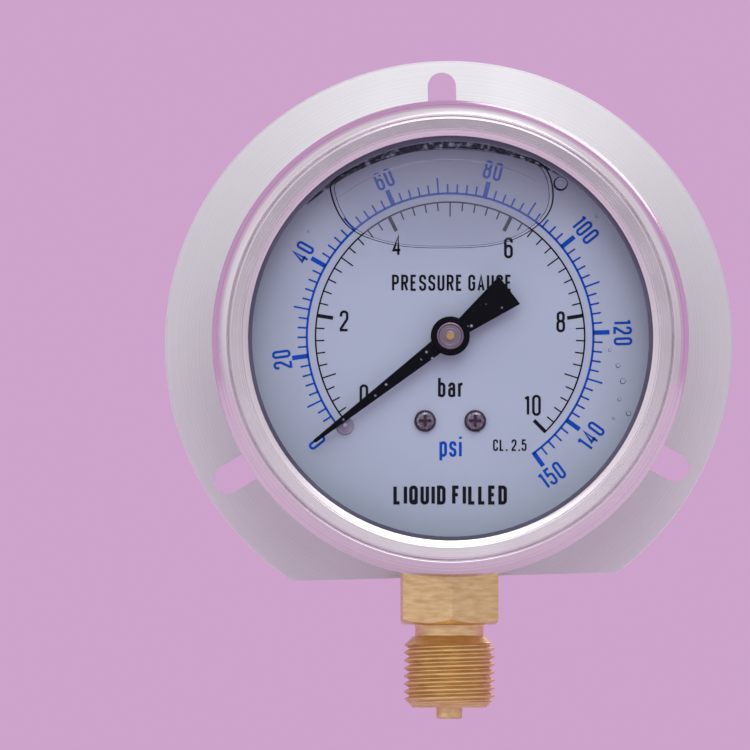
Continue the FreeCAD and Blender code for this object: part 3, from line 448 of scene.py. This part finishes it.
# Letters as strokes on a grid 3 wide and 9 high: (closed, corners), a corner being (x, z, radius).
R = 1.45
BOWL = (True, [(0, 0, R), (3, 0, R), (3, 6.3, R), (0, 6.3, R)])
LETTERS = {
    "0": [(True, [(0, 0, R), (3, 0, R), (3, 9, R), (0, 9, R)])],
    "1": [(False, [(1.7, 0, 0), (1.7, 9, 0)]), (False, [(1.7, 8.6, 0), (0.3, 7.7, 0)])],
    "2": [(False, [(0, 6.6, 0), (0, 9, R), (3, 9, R), (3, 5.4, 1.6), (0, 0.8, 0.4), (0, 0, 0), (3.2, 0, 0)])],
    "4": [(False, [(2.3, 0, 0), (2.3, 9, 0), (0, 2.3, 0), (3.3, 2.3, 0)])],
    "5": [(False, [(2.9, 9, 0), (0.3, 9, 0), (0.1, 5.0, 0)]),
          (False, [(0.1, 4.8, 0), (0.4, 5.8, 0.6), (3, 5.8, 1.4), (3, 0, R), (0, 0, R), (0, 2.2, 0)])],
    "6": [(True, [(0, 0, R), (3, 0, R), (3, 5.4, R), (0, 5.4, R)]),
          (False, [(0, 2, 0), (0, 9, R), (3, 9, R), (3, 7.0, 0)])],
    "8": [(True, [(0, 0, R), (3, 0, R), (3, 4.8, 1.4), (0, 4.8, 1.4)]),
          (True, [(0.15, 4.8, 1.3), (2.85, 4.8, 1.3), (2.85, 9, 1.3), (0.15, 9, 1.3)])],
    ".": [(False, [(0.1, -0.8, 0), (0.1, 0.8, 0)])],
    "A": [(False, [(0, -0.4, 0), (1.6, 9, 0), (3.2, -0.4, 0)]), (False, [(0.4, 2.4, 0), (2.8, 2.4, 0)])],
    "C": [(False, [(3, 6.4, 0), (3, 9, R), (0, 9, R), (0, 0, R), (3, 0, R), (3, 2.6, 0)])],
    "D": [(True, [(0, 0, 0), (3, 0, R), (3, 9, R), (0, 9, 0)])],
    "E": [(False, [(2.7, 9, 0), (0, 9, 0), (0, 0, 0), (2.7, 0, 0)]), (False, [(0, 4.7, 0), (2.3, 4.7, 0)])],
    "F": [(False, [(2.7, 9, 0), (0, 9, 0), (0, -0.4, 0)]), (False, [(0, 4.7, 0), (2.3, 4.7, 0)])],
    "G": [(False, [(3, 6.4, 0), (3, 9, R), (0, 9, R), (0, 0, R), (3, 0, R), (3, 4.4, 0), (1.7, 4.4, 0)])],
    "I": [(False, [(0.2, -0.4, 0), (0.2, 9.4, 0)])],
    "L": [(False, [(0, 9.4, 0), (0, 0, 0), (2.6, 0, 0)])],
    "P": [(False, [(0, -0.4, 0), (0, 9, 0), (3, 9, R), (3, 4.2, R), (0, 4.2, 0)])],
    "Q": [(True, [(0, 0, R), (3, 0, R), (3, 9, R), (0, 9, R)]), (False, [(1.7, 2.0, 0), (3.3, -0.6, 0)])],
    "R": [(False, [(0, -0.4, 0), (0, 9, 0), (3, 9, R), (3, 4.4, R), (0, 4.4, 0)]),
          (False, [(1.6, 4.4, 0), (3.1, -0.4, 0)])],
    "S": [(False, [(3, 6.6, 0), (3, 9, R), (0, 9, R), (0, 5.4, 1.3), (3, 3.6, 1.3), (3, 0, R), (0, 0, R),
                   (0, 2.4, 0)])],
    "U": [(False, [(0, 9.4, 0), (0, 0, R), (3, 0, R), (3, 9.4, 0)])],
    "a": [(False, [(0.1, 4.7, 0), (0.1, 6.3, 1.2), (2.9, 6.3, 1.2), (2.9, -0.4, 0)]),
          (True, [(0, 0, 1.1), (2.9, 0, 1.1), (2.9, 3.7, 1.1), (0, 3.7, 1.1)])],
    "b": [(False, [(0, -0.4, 0), (0, 9.4, 0)]), BOWL],
    "i": [(False, [(0.2, -0.4, 0), (0.2, 6.6, 0)]), (False, [(0.2, 8.1, 0), (0.2, 9.2, 0)])],
    "p": [(False, [(0, 6.6, 0), (0, -2.4, 0)]), BOWL],
    "r": [(False, [(0, -0.4, 0), (0, 6.6, 0)]), (False, [(0, 4.6, 0), (0.3, 6.2, 1.2), (2.1, 6.2, 0)])],
    "s": [(False, [(2.8, 4.7, 0), (2.8, 6.3, 1.2), (0, 6.3, 1.2), (0, 3.9, 1.1), (2.8, 2.5, 1.1),
                   (2.8, 0, 1.2), (0, 0, 1.2), (0, 1.6, 0)])],
    " ": [],
}
GRID_HEIGHT = 9.0
LETTER_GAP = 0.13    # between two letters' edges, as a share of their height
WORD_GAP = -0.6      # a space's width on the grid, between the two gaps beside it


def letter_width(letter):
    reaches = [corner[0] for _, stroke in LETTERS[letter] for corner in stroke]
    return max(reaches, default=WORD_GAP)


def write(bm, text, centre, height, weight, turn=0.0, spread=1.0, narrow=1.0):
    """Draw text centred on a point of the dial, turned by degrees; weight is the strokes' width."""
    unit = (height - weight) / GRID_HEIGHT
    gap = (weight + LETTER_GAP * height * spread) / unit / narrow
    pen = -(sum(map(letter_width, text)) + gap * (len(text) - 1)) / 2
    rotate = Matrix.Rotation(radians(turn), 2)
    for letter in text:
        for layer, (closed, corners) in enumerate(LETTERS[letter]):
            path = rounded(corners, closed)
            points = [rotate @ (Vector(((p.x + pen) * narrow, p.y - GRID_HEIGHT / 2)) * unit) for p in path]
            front = INK_FRONT - layer * LAYER
            ribbon(bm, [on_dial(p + centre) for p in points], weight, front, INK_BACK + layer * LAYER, closed)
        pen += letter_width(letter) + gap


def numerals():
    """The bar numerals stand upright inside their scale; the psi ones turn with theirs."""
    bm = bmesh.new()
    places = {"0": (-19.8, -13.4), "2": (-24.3, 3.6), "4": (-12.2, 20.9), "6": (13.4, 20.4),
              "8": (25.4, 3.4), "10": (18.8, -15.8)}
    for text, (x, z) in places.items():
        write(bm, text, Vector((x, z)) * MM, 4.85 * MM, 0.6 * MM)
    piece("numerals_bar", bm, BLACK_INK)
    bm = bmesh.new()
    for psi in (*range(0, PSI_END, 20), PSI_END):
        angle = ZERO - DEGREES_PER_PSI * psi if psi else PSI_ZERO_NUMERAL
        turn = angle + 90 if psi >= 140 else angle - 90
        place = polar(PSI_NUMERALS, angle) + PSI_NUMERAL_SHIFT
        write(bm, str(psi), place, 4.3 * MM, 0.58 * MM, turn)
    piece("numerals_psi", bm, BLUE_INK)


def lettering():
    """The unit names, the class and a plain description."""
    bm = bmesh.new()
    write(bm, "PRESSURE GAUGE", Vector((0.4, 12.35)) * MM, 3.75 * MM, 0.55 * MM)
    write(bm, "bar", Vector((0.2, -11.65)) * MM, 4.6 * MM, 0.64 * MM, narrow=0.81)
    write(bm, "CL. 2.5", Vector((13.7, -24.95)) * MM, 2.7 * MM, 0.4 * MM, spread=0.95)
    write(bm, "LIQUID FILLED", Vector((0.0, -36.4)) * MM, 4.4 * MM, 0.8 * MM, spread=0.8)
    piece("lettering", bm, BLACK_INK)
    bm = bmesh.new()
    write(bm, "psi", Vector((0.1, -25.2)) * MM, 4.9 * MM, 0.66 * MM, spread=0.75, narrow=0.78)
    piece("lettering_psi", bm, BLUE_INK)


bar_scale()
psi_scale()
numerals()
lettering()


# ---------------------------------------------------------------- the liquid's bubbles

# The bubbles are drawn with painted light in place of refraction: dark lines of painted shade at their edges,
# a faint painted sheen inside and pale painted glints.
BUBBLE_SHADE_LINE = clear("bubble_shade_line", colour(150, 150, 165), 1.2, 0.72, colour(40, 38, 54))
BUBBLE_SHEEN = clear("bubble_sheen", colour(255, 255, 255), 1.1, 0.07, colour(226, 228, 240))
BUBBLE_GLINT = clear("bubble_glint", colour(255, 255, 255), 1.1, 0.35, colour(240, 240, 250))
BUBBLE_BACK = GLASS_BACK + 0.3 * MM
BUBBLE_FRONT = GLASS_BACK + 0.1 * MM


def froth(name):
    """Painted shade: a dark band above the bubble where the bezel's inner edge shades the liquid, with
    painted glints as pale points and see-through gaps.
    """
    tree = Tree(name)
    grain = tree.noise(900.0, 5.0)
    # Painted glints: pale points scattered in the dark band.
    painted_glint_mask = tree.spread(grain, 0.0, 1.0, 0.52, 0.7)
    tree.set(Base_Color=tree.blend(painted_glint_mask, colour(34, 32, 48), colour(212, 212, 226)), Roughness=0.3)
    tree.set(Alpha=tree.spread(tree.noise(420.0, 4.0), 0.45, 0.95, 0.35, 0.6))
    return tree.material


def smooth_loop(corners, steps=12):
    """A smooth closed curve through a few points, about the dial's centre."""
    points = [on_dial(Vector(corner) * MM) for corner in corners]
    count = len(points)
    curve = []
    for i, here in enumerate(points):
        after, beyond, before = points[(i + 1) % count], points[(i + 2) % count], points[i - 1]
        for k in range(steps):
            share = k / steps
            leave, arrive = (after - before) / 2, (beyond - here) / 2
            bend = 3 * (after - here) - 2 * leave - arrive
            close = 2 * (here - after) + leave + arrive
            curve.append(here + leave * share + bend * share ** 2 + close * share ** 3)
    return curve


def sheet_between(bm, edge, front, back):
    """A thin closed slab inside an edge curve."""
    layers = [[bm.verts.new((p.x, y, p.y)) for p in edge] for y in (front, back)]
    for layer in layers:
        bm.faces.new(layer)
    for k in range(len(edge)):
        bm.faces.new((layers[0][k - 1], layers[0][k], layers[1][k], layers[1][k - 1]))


def strip(bm, start, stop, inner, outer, steps=90):
    """A curved strip about the case's axis, whose radii are functions of the share of its length."""
    sides = [[], []]
    for k in range(steps + 1):
        share = k / steps
        for side, radius in zip(sides, (inner, outer)):
            side.append(polar(radius(share) * MM, start + (stop - start) * share) + Vector((0, CASE_Z)))
    sheet_between(bm, sides[0] + sides[1][::-1], BUBBLE_FRONT, BUBBLE_BACK)


# Millimetres from the dial's centre: corners of the bubble's edge, and droplets with their radii.
BUBBLE = [(-25.8, 36.4), (-27.1, 31.8), (-22.9, 24.6), (-13.4, 20.9), (-0.7, 20.1), (11.5, 21.1),
          (20.1, 25.4), (23.5, 31.4), (21.1, 39.2), (11.5, 42.1), (-0.7, 43.2), (-13.4, 41.6)]
DROPLETS = [(25.3, 34.9, 1.5), (36.5, -3.3, 0.35), (38.4, -6.8, 0.5), (39.5, -10.4, 0.6),
            (38.7, -14.6, 0.4), (40.8, -17.8, 0.55), (37.4, -18.9, 0.3), (-32.5, 24.0, 0.3),
            (33.6, 27.4, 0.35)]
DROPLET_STEP = 15    # degrees between the points of a droplet's rim


def trapped_air():
    """The flat bubble that the filling leaves at the window's top, drawn in painted light: its edge as dark
    lines of painted shade, a faint painted sheen inside, a painted glint near its top and a band of painted
    shade with painted glints above it.
    """
    edge = smooth_loop(BUBBLE)
    centre = sum(edge, Vector((0, 0))) / len(edge)
    # The edge's line of painted shade is thicker towards the bubble's two ends; a fainter second line lies
    # just inside it.
    widths = [(0.14 + 0.24 * (abs(p.x - centre.x) / (25 * MM)) ** 4) * MM for p in edge]
    bm = bmesh.new()
    ribbon(bm, edge, widths, BUBBLE_FRONT, BUBBLE_BACK, closed=True)
    inner = [centre + (p - centre) * 0.965 for p in edge]
    faint = [0.05 * MM + width / 4 for width in widths]
    ribbon(bm, inner, faint, BUBBLE_FRONT, BUBBLE_BACK, closed=True)
    piece("bubble_edge", bm, BUBBLE_SHADE_LINE)
    bm = bmesh.new()
    # A faint painted sheen over the bubble's inside.
    sheet_between(bm, inner, BUBBLE_FRONT, BUBBLE_BACK - 0.1 * MM)
    piece("bubble_sheen", bm, BUBBLE_SHEEN)
    bm = bmesh.new()
    # A painted glint: a pale arc just inside the bubble's top.
    strip(bm, 129, 61, lambda share: 41.2 - 0.35 * sin(pi * share), lambda share: 41.3)
    piece("bubble_glint", bm, BUBBLE_GLINT)
    bm = bmesh.new()
    # A band of painted shade, with painted glints, between the bubble's top and the bezel's inner edge.
    strip(bm, 137, 56, lambda share: 45.1 - 1.5 * sin(pi * share) ** 0.6, lambda share: 45.2)
    piece("froth", bm, froth("froth"))


def droplets():
    """Small round bubbles that cling to the window, drawn as rings of painted shade with a painted glint on
    each.
    """
    rims, glints = bmesh.new(), bmesh.new()
    for x, z, radius in DROPLETS:
        place = on_dial(Vector((x, z)) * MM)
        angles = range(0, 360, DROPLET_STEP)
        ring = [place + polar(radius * MM, angle) for angle in angles]
        # Each droplet's rim is a ring of painted shade, thickest towards its lower left.
        widths = [radius * MM * (0.2 + 0.12 * sin(radians(angle - 150))) for angle in angles]
        ribbon(rims, ring, widths, BUBBLE_FRONT, BUBBLE_BACK, closed=True)
        # A painted glint: a pale arc on the droplet's upper side.
        glint = [place + polar(radius * 0.55 * MM, angle) for angle in range(0, 160, 20)]
        ribbon(glints, glint, radius * 0.16 * MM, BUBBLE_FRONT, BUBBLE_BACK)
    piece("droplets", rims, BUBBLE_SHADE_LINE)
    piece("droplet_glints", glints, BUBBLE_GLINT)


trapped_air()
droplets()


# ---------------------------------------------------------------- the Bourdon tube

TUBE_RADIUS = 37.0 * MM
TUBE_ROOT = 265.0
TUBE_END = -20.0
TUBE_STEPS = 140


def bent_tube():
    """The Bourdon tube: a curved tube of rounded section on an arc about the case's axis, made in place of
    the CAD one, which is hidden.
    """
    half_thick, half_wide = 1.8 * MM, 4.2 * MM
    depth = middle("bourdon_tube").y
    corner = half_thick * 0.9
    section = rounded([(-half_thick, -half_wide, corner), (half_thick, -half_wide, corner),
                       (half_thick, half_wide, corner), (-half_thick, half_wide, corner)], True)
    bm = bmesh.new()
    rings = []
    for k in range(TUBE_STEPS + 1):
        angle = TUBE_ROOT + (TUBE_END - TUBE_ROOT) * k / TUBE_STEPS
        places = [(polar(TUBE_RADIUS + p.x, angle), depth + p.y) for p in section]
        rings.append([bm.verts.new((place.x, y, CASE_Z + place.y)) for place, y in places])
    for one, two in zip(rings, rings[1:]):
        for k in range(len(section)):
            bm.faces.new((one[k - 1], one[k], two[k], two[k - 1]))
    bm.faces.new(rings[0])
    bm.faces.new(rings[-1])
    tube = piece("bent_tube", bm, FINISHES["tube_bronze"], body=None, smooth=True)
    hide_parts("bourdon_tube")
    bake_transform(tube)


bent_tube()


# ---------------------------------------------------------------- room, light and camera

ROOM = colour(205, 163, 203)
PALE_LOW = colour(198, 190, 202)
PALE_HIGH = colour(232, 228, 234)
DOORWAY = colour(84, 80, 92)
FLOOR_Z = -14 * MM
AIM_X = -17.3 * MM
AIM_Z = 78.5 * MM


def world():
    """A pink room behind the object, and a pale one before it with a dark doorway in its middle."""
    made = bpy.data.worlds.new("room")
    made.use_nodes = True
    nodes, links = made.node_tree.nodes, made.node_tree.links
    direction = nodes.new("ShaderNodeTexCoord").outputs["Generated"]
    split = nodes.new("ShaderNodeSeparateXYZ")
    links.new(direction, split.inputs[0])

    def between(first, second, start, stop, axis):
        """Change from one colour to another over a range of the direction along an axis."""
        share = nodes.new("ShaderNodeMapRange")
        share.interpolation_type = "SMOOTHSTEP"
        share.inputs["From Min"].default_value = start
        share.inputs["From Max"].default_value = stop
        links.new(split.outputs[axis], share.inputs["Value"])
        mix = nodes.new("ShaderNodeMix")
        mix.data_type = "RGBA"
        links.new(share.outputs["Result"], mix.inputs[0])
        for index, given in ((6, first), (7, second)):
            if isinstance(given, bpy.types.NodeSocket):
                links.new(given, mix.inputs[index])
            else:
                mix.inputs[index].default_value = given
        return mix.outputs[2]

    front = between(PALE_LOW, PALE_HIGH, -0.3, 0.5, 2)
    open_front = between(DOORWAY, front, -0.9972, -0.9935, 1)
    room = between(open_front, ROOM, -0.12, 0.2, 1)
    links.new(room, nodes["Background"].inputs["Color"])
    bpy.context.scene.world = made


def area_light(name, place, size, power, tint):
    """A round lamp that points at the middle of the case."""
    light = bpy.data.lights.new(name, "AREA")
    light.shape = "DISK"
    light.size = size
    light.energy = power
    light.color = tint
    made = bpy.data.objects.new(name, light)
    made.location = place
    made.rotation_euler = (Vector((0, 0, CASE_Z)) - Vector(place)).to_track_quat("-Z", "Y").to_euler()
    bpy.context.scene.collection.objects.link(made)


def lights():
    area_light("key", (0.3, -1.6, 1.9), 2.0, 15, (1.0, 0.99, 1.0))
    area_light("softbox", (0.0, -0.95, 0.56), 0.55, 1.1, (1.0, 0.99, 1.0))
    area_light("fill", (-1.6, -1.6, 0.4), 2.6, 3, (1.0, 0.98, 0.98))
    area_light("back", (0.9, 1.8, 1.5), 1.6, 8, (1.0, 0.98, 1.0))


def floor():
    """A pale sheet below the stem."""
    bm = bmesh.new()
    bmesh.ops.create_grid(bm, x_segments=4, y_segments=4, size=0.6)
    mesh = bpy.data.meshes.new("floor")
    bm.to_mesh(mesh)
    bm.free()
    paper, shade = colour(230, 216, 229), colour(226, 212, 225)
    mesh.materials.append(painted("floor_paper", paper, shade, 0.8, 300.0, 1e-4))
    made = bpy.data.objects.new("floor", mesh)
    made.location.z = FLOOR_Z
    bpy.context.scene.collection.objects.link(made)


def camera():
    """Far off, just below the dial's axis and looking slightly up, as the photograph was taken."""
    made = bpy.data.objects.new("camera", bpy.data.cameras.new("camera"))
    made.data.lens = 588
    made.data.sensor_width = 36
    made.data.clip_end = 100
    rise, yaw, distance = radians(1.68), radians(-0.23), 2.8
    aim = Vector((AIM_X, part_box("bezel_ring")[0].y, AIM_Z))
    back = Vector((sin(yaw) * cos(rise), -cos(yaw) * cos(rise), -sin(rise)))
    made.location = aim + back * distance
    made.rotation_euler = (-back).to_track_quat("-Z", "Y").to_euler()
    bpy.context.scene.collection.objects.link(made)
    bpy.context.scene.camera = made


world()
lights()
floor()
camera()
bpy.context.scene.view_settings.view_transform = "Standard"
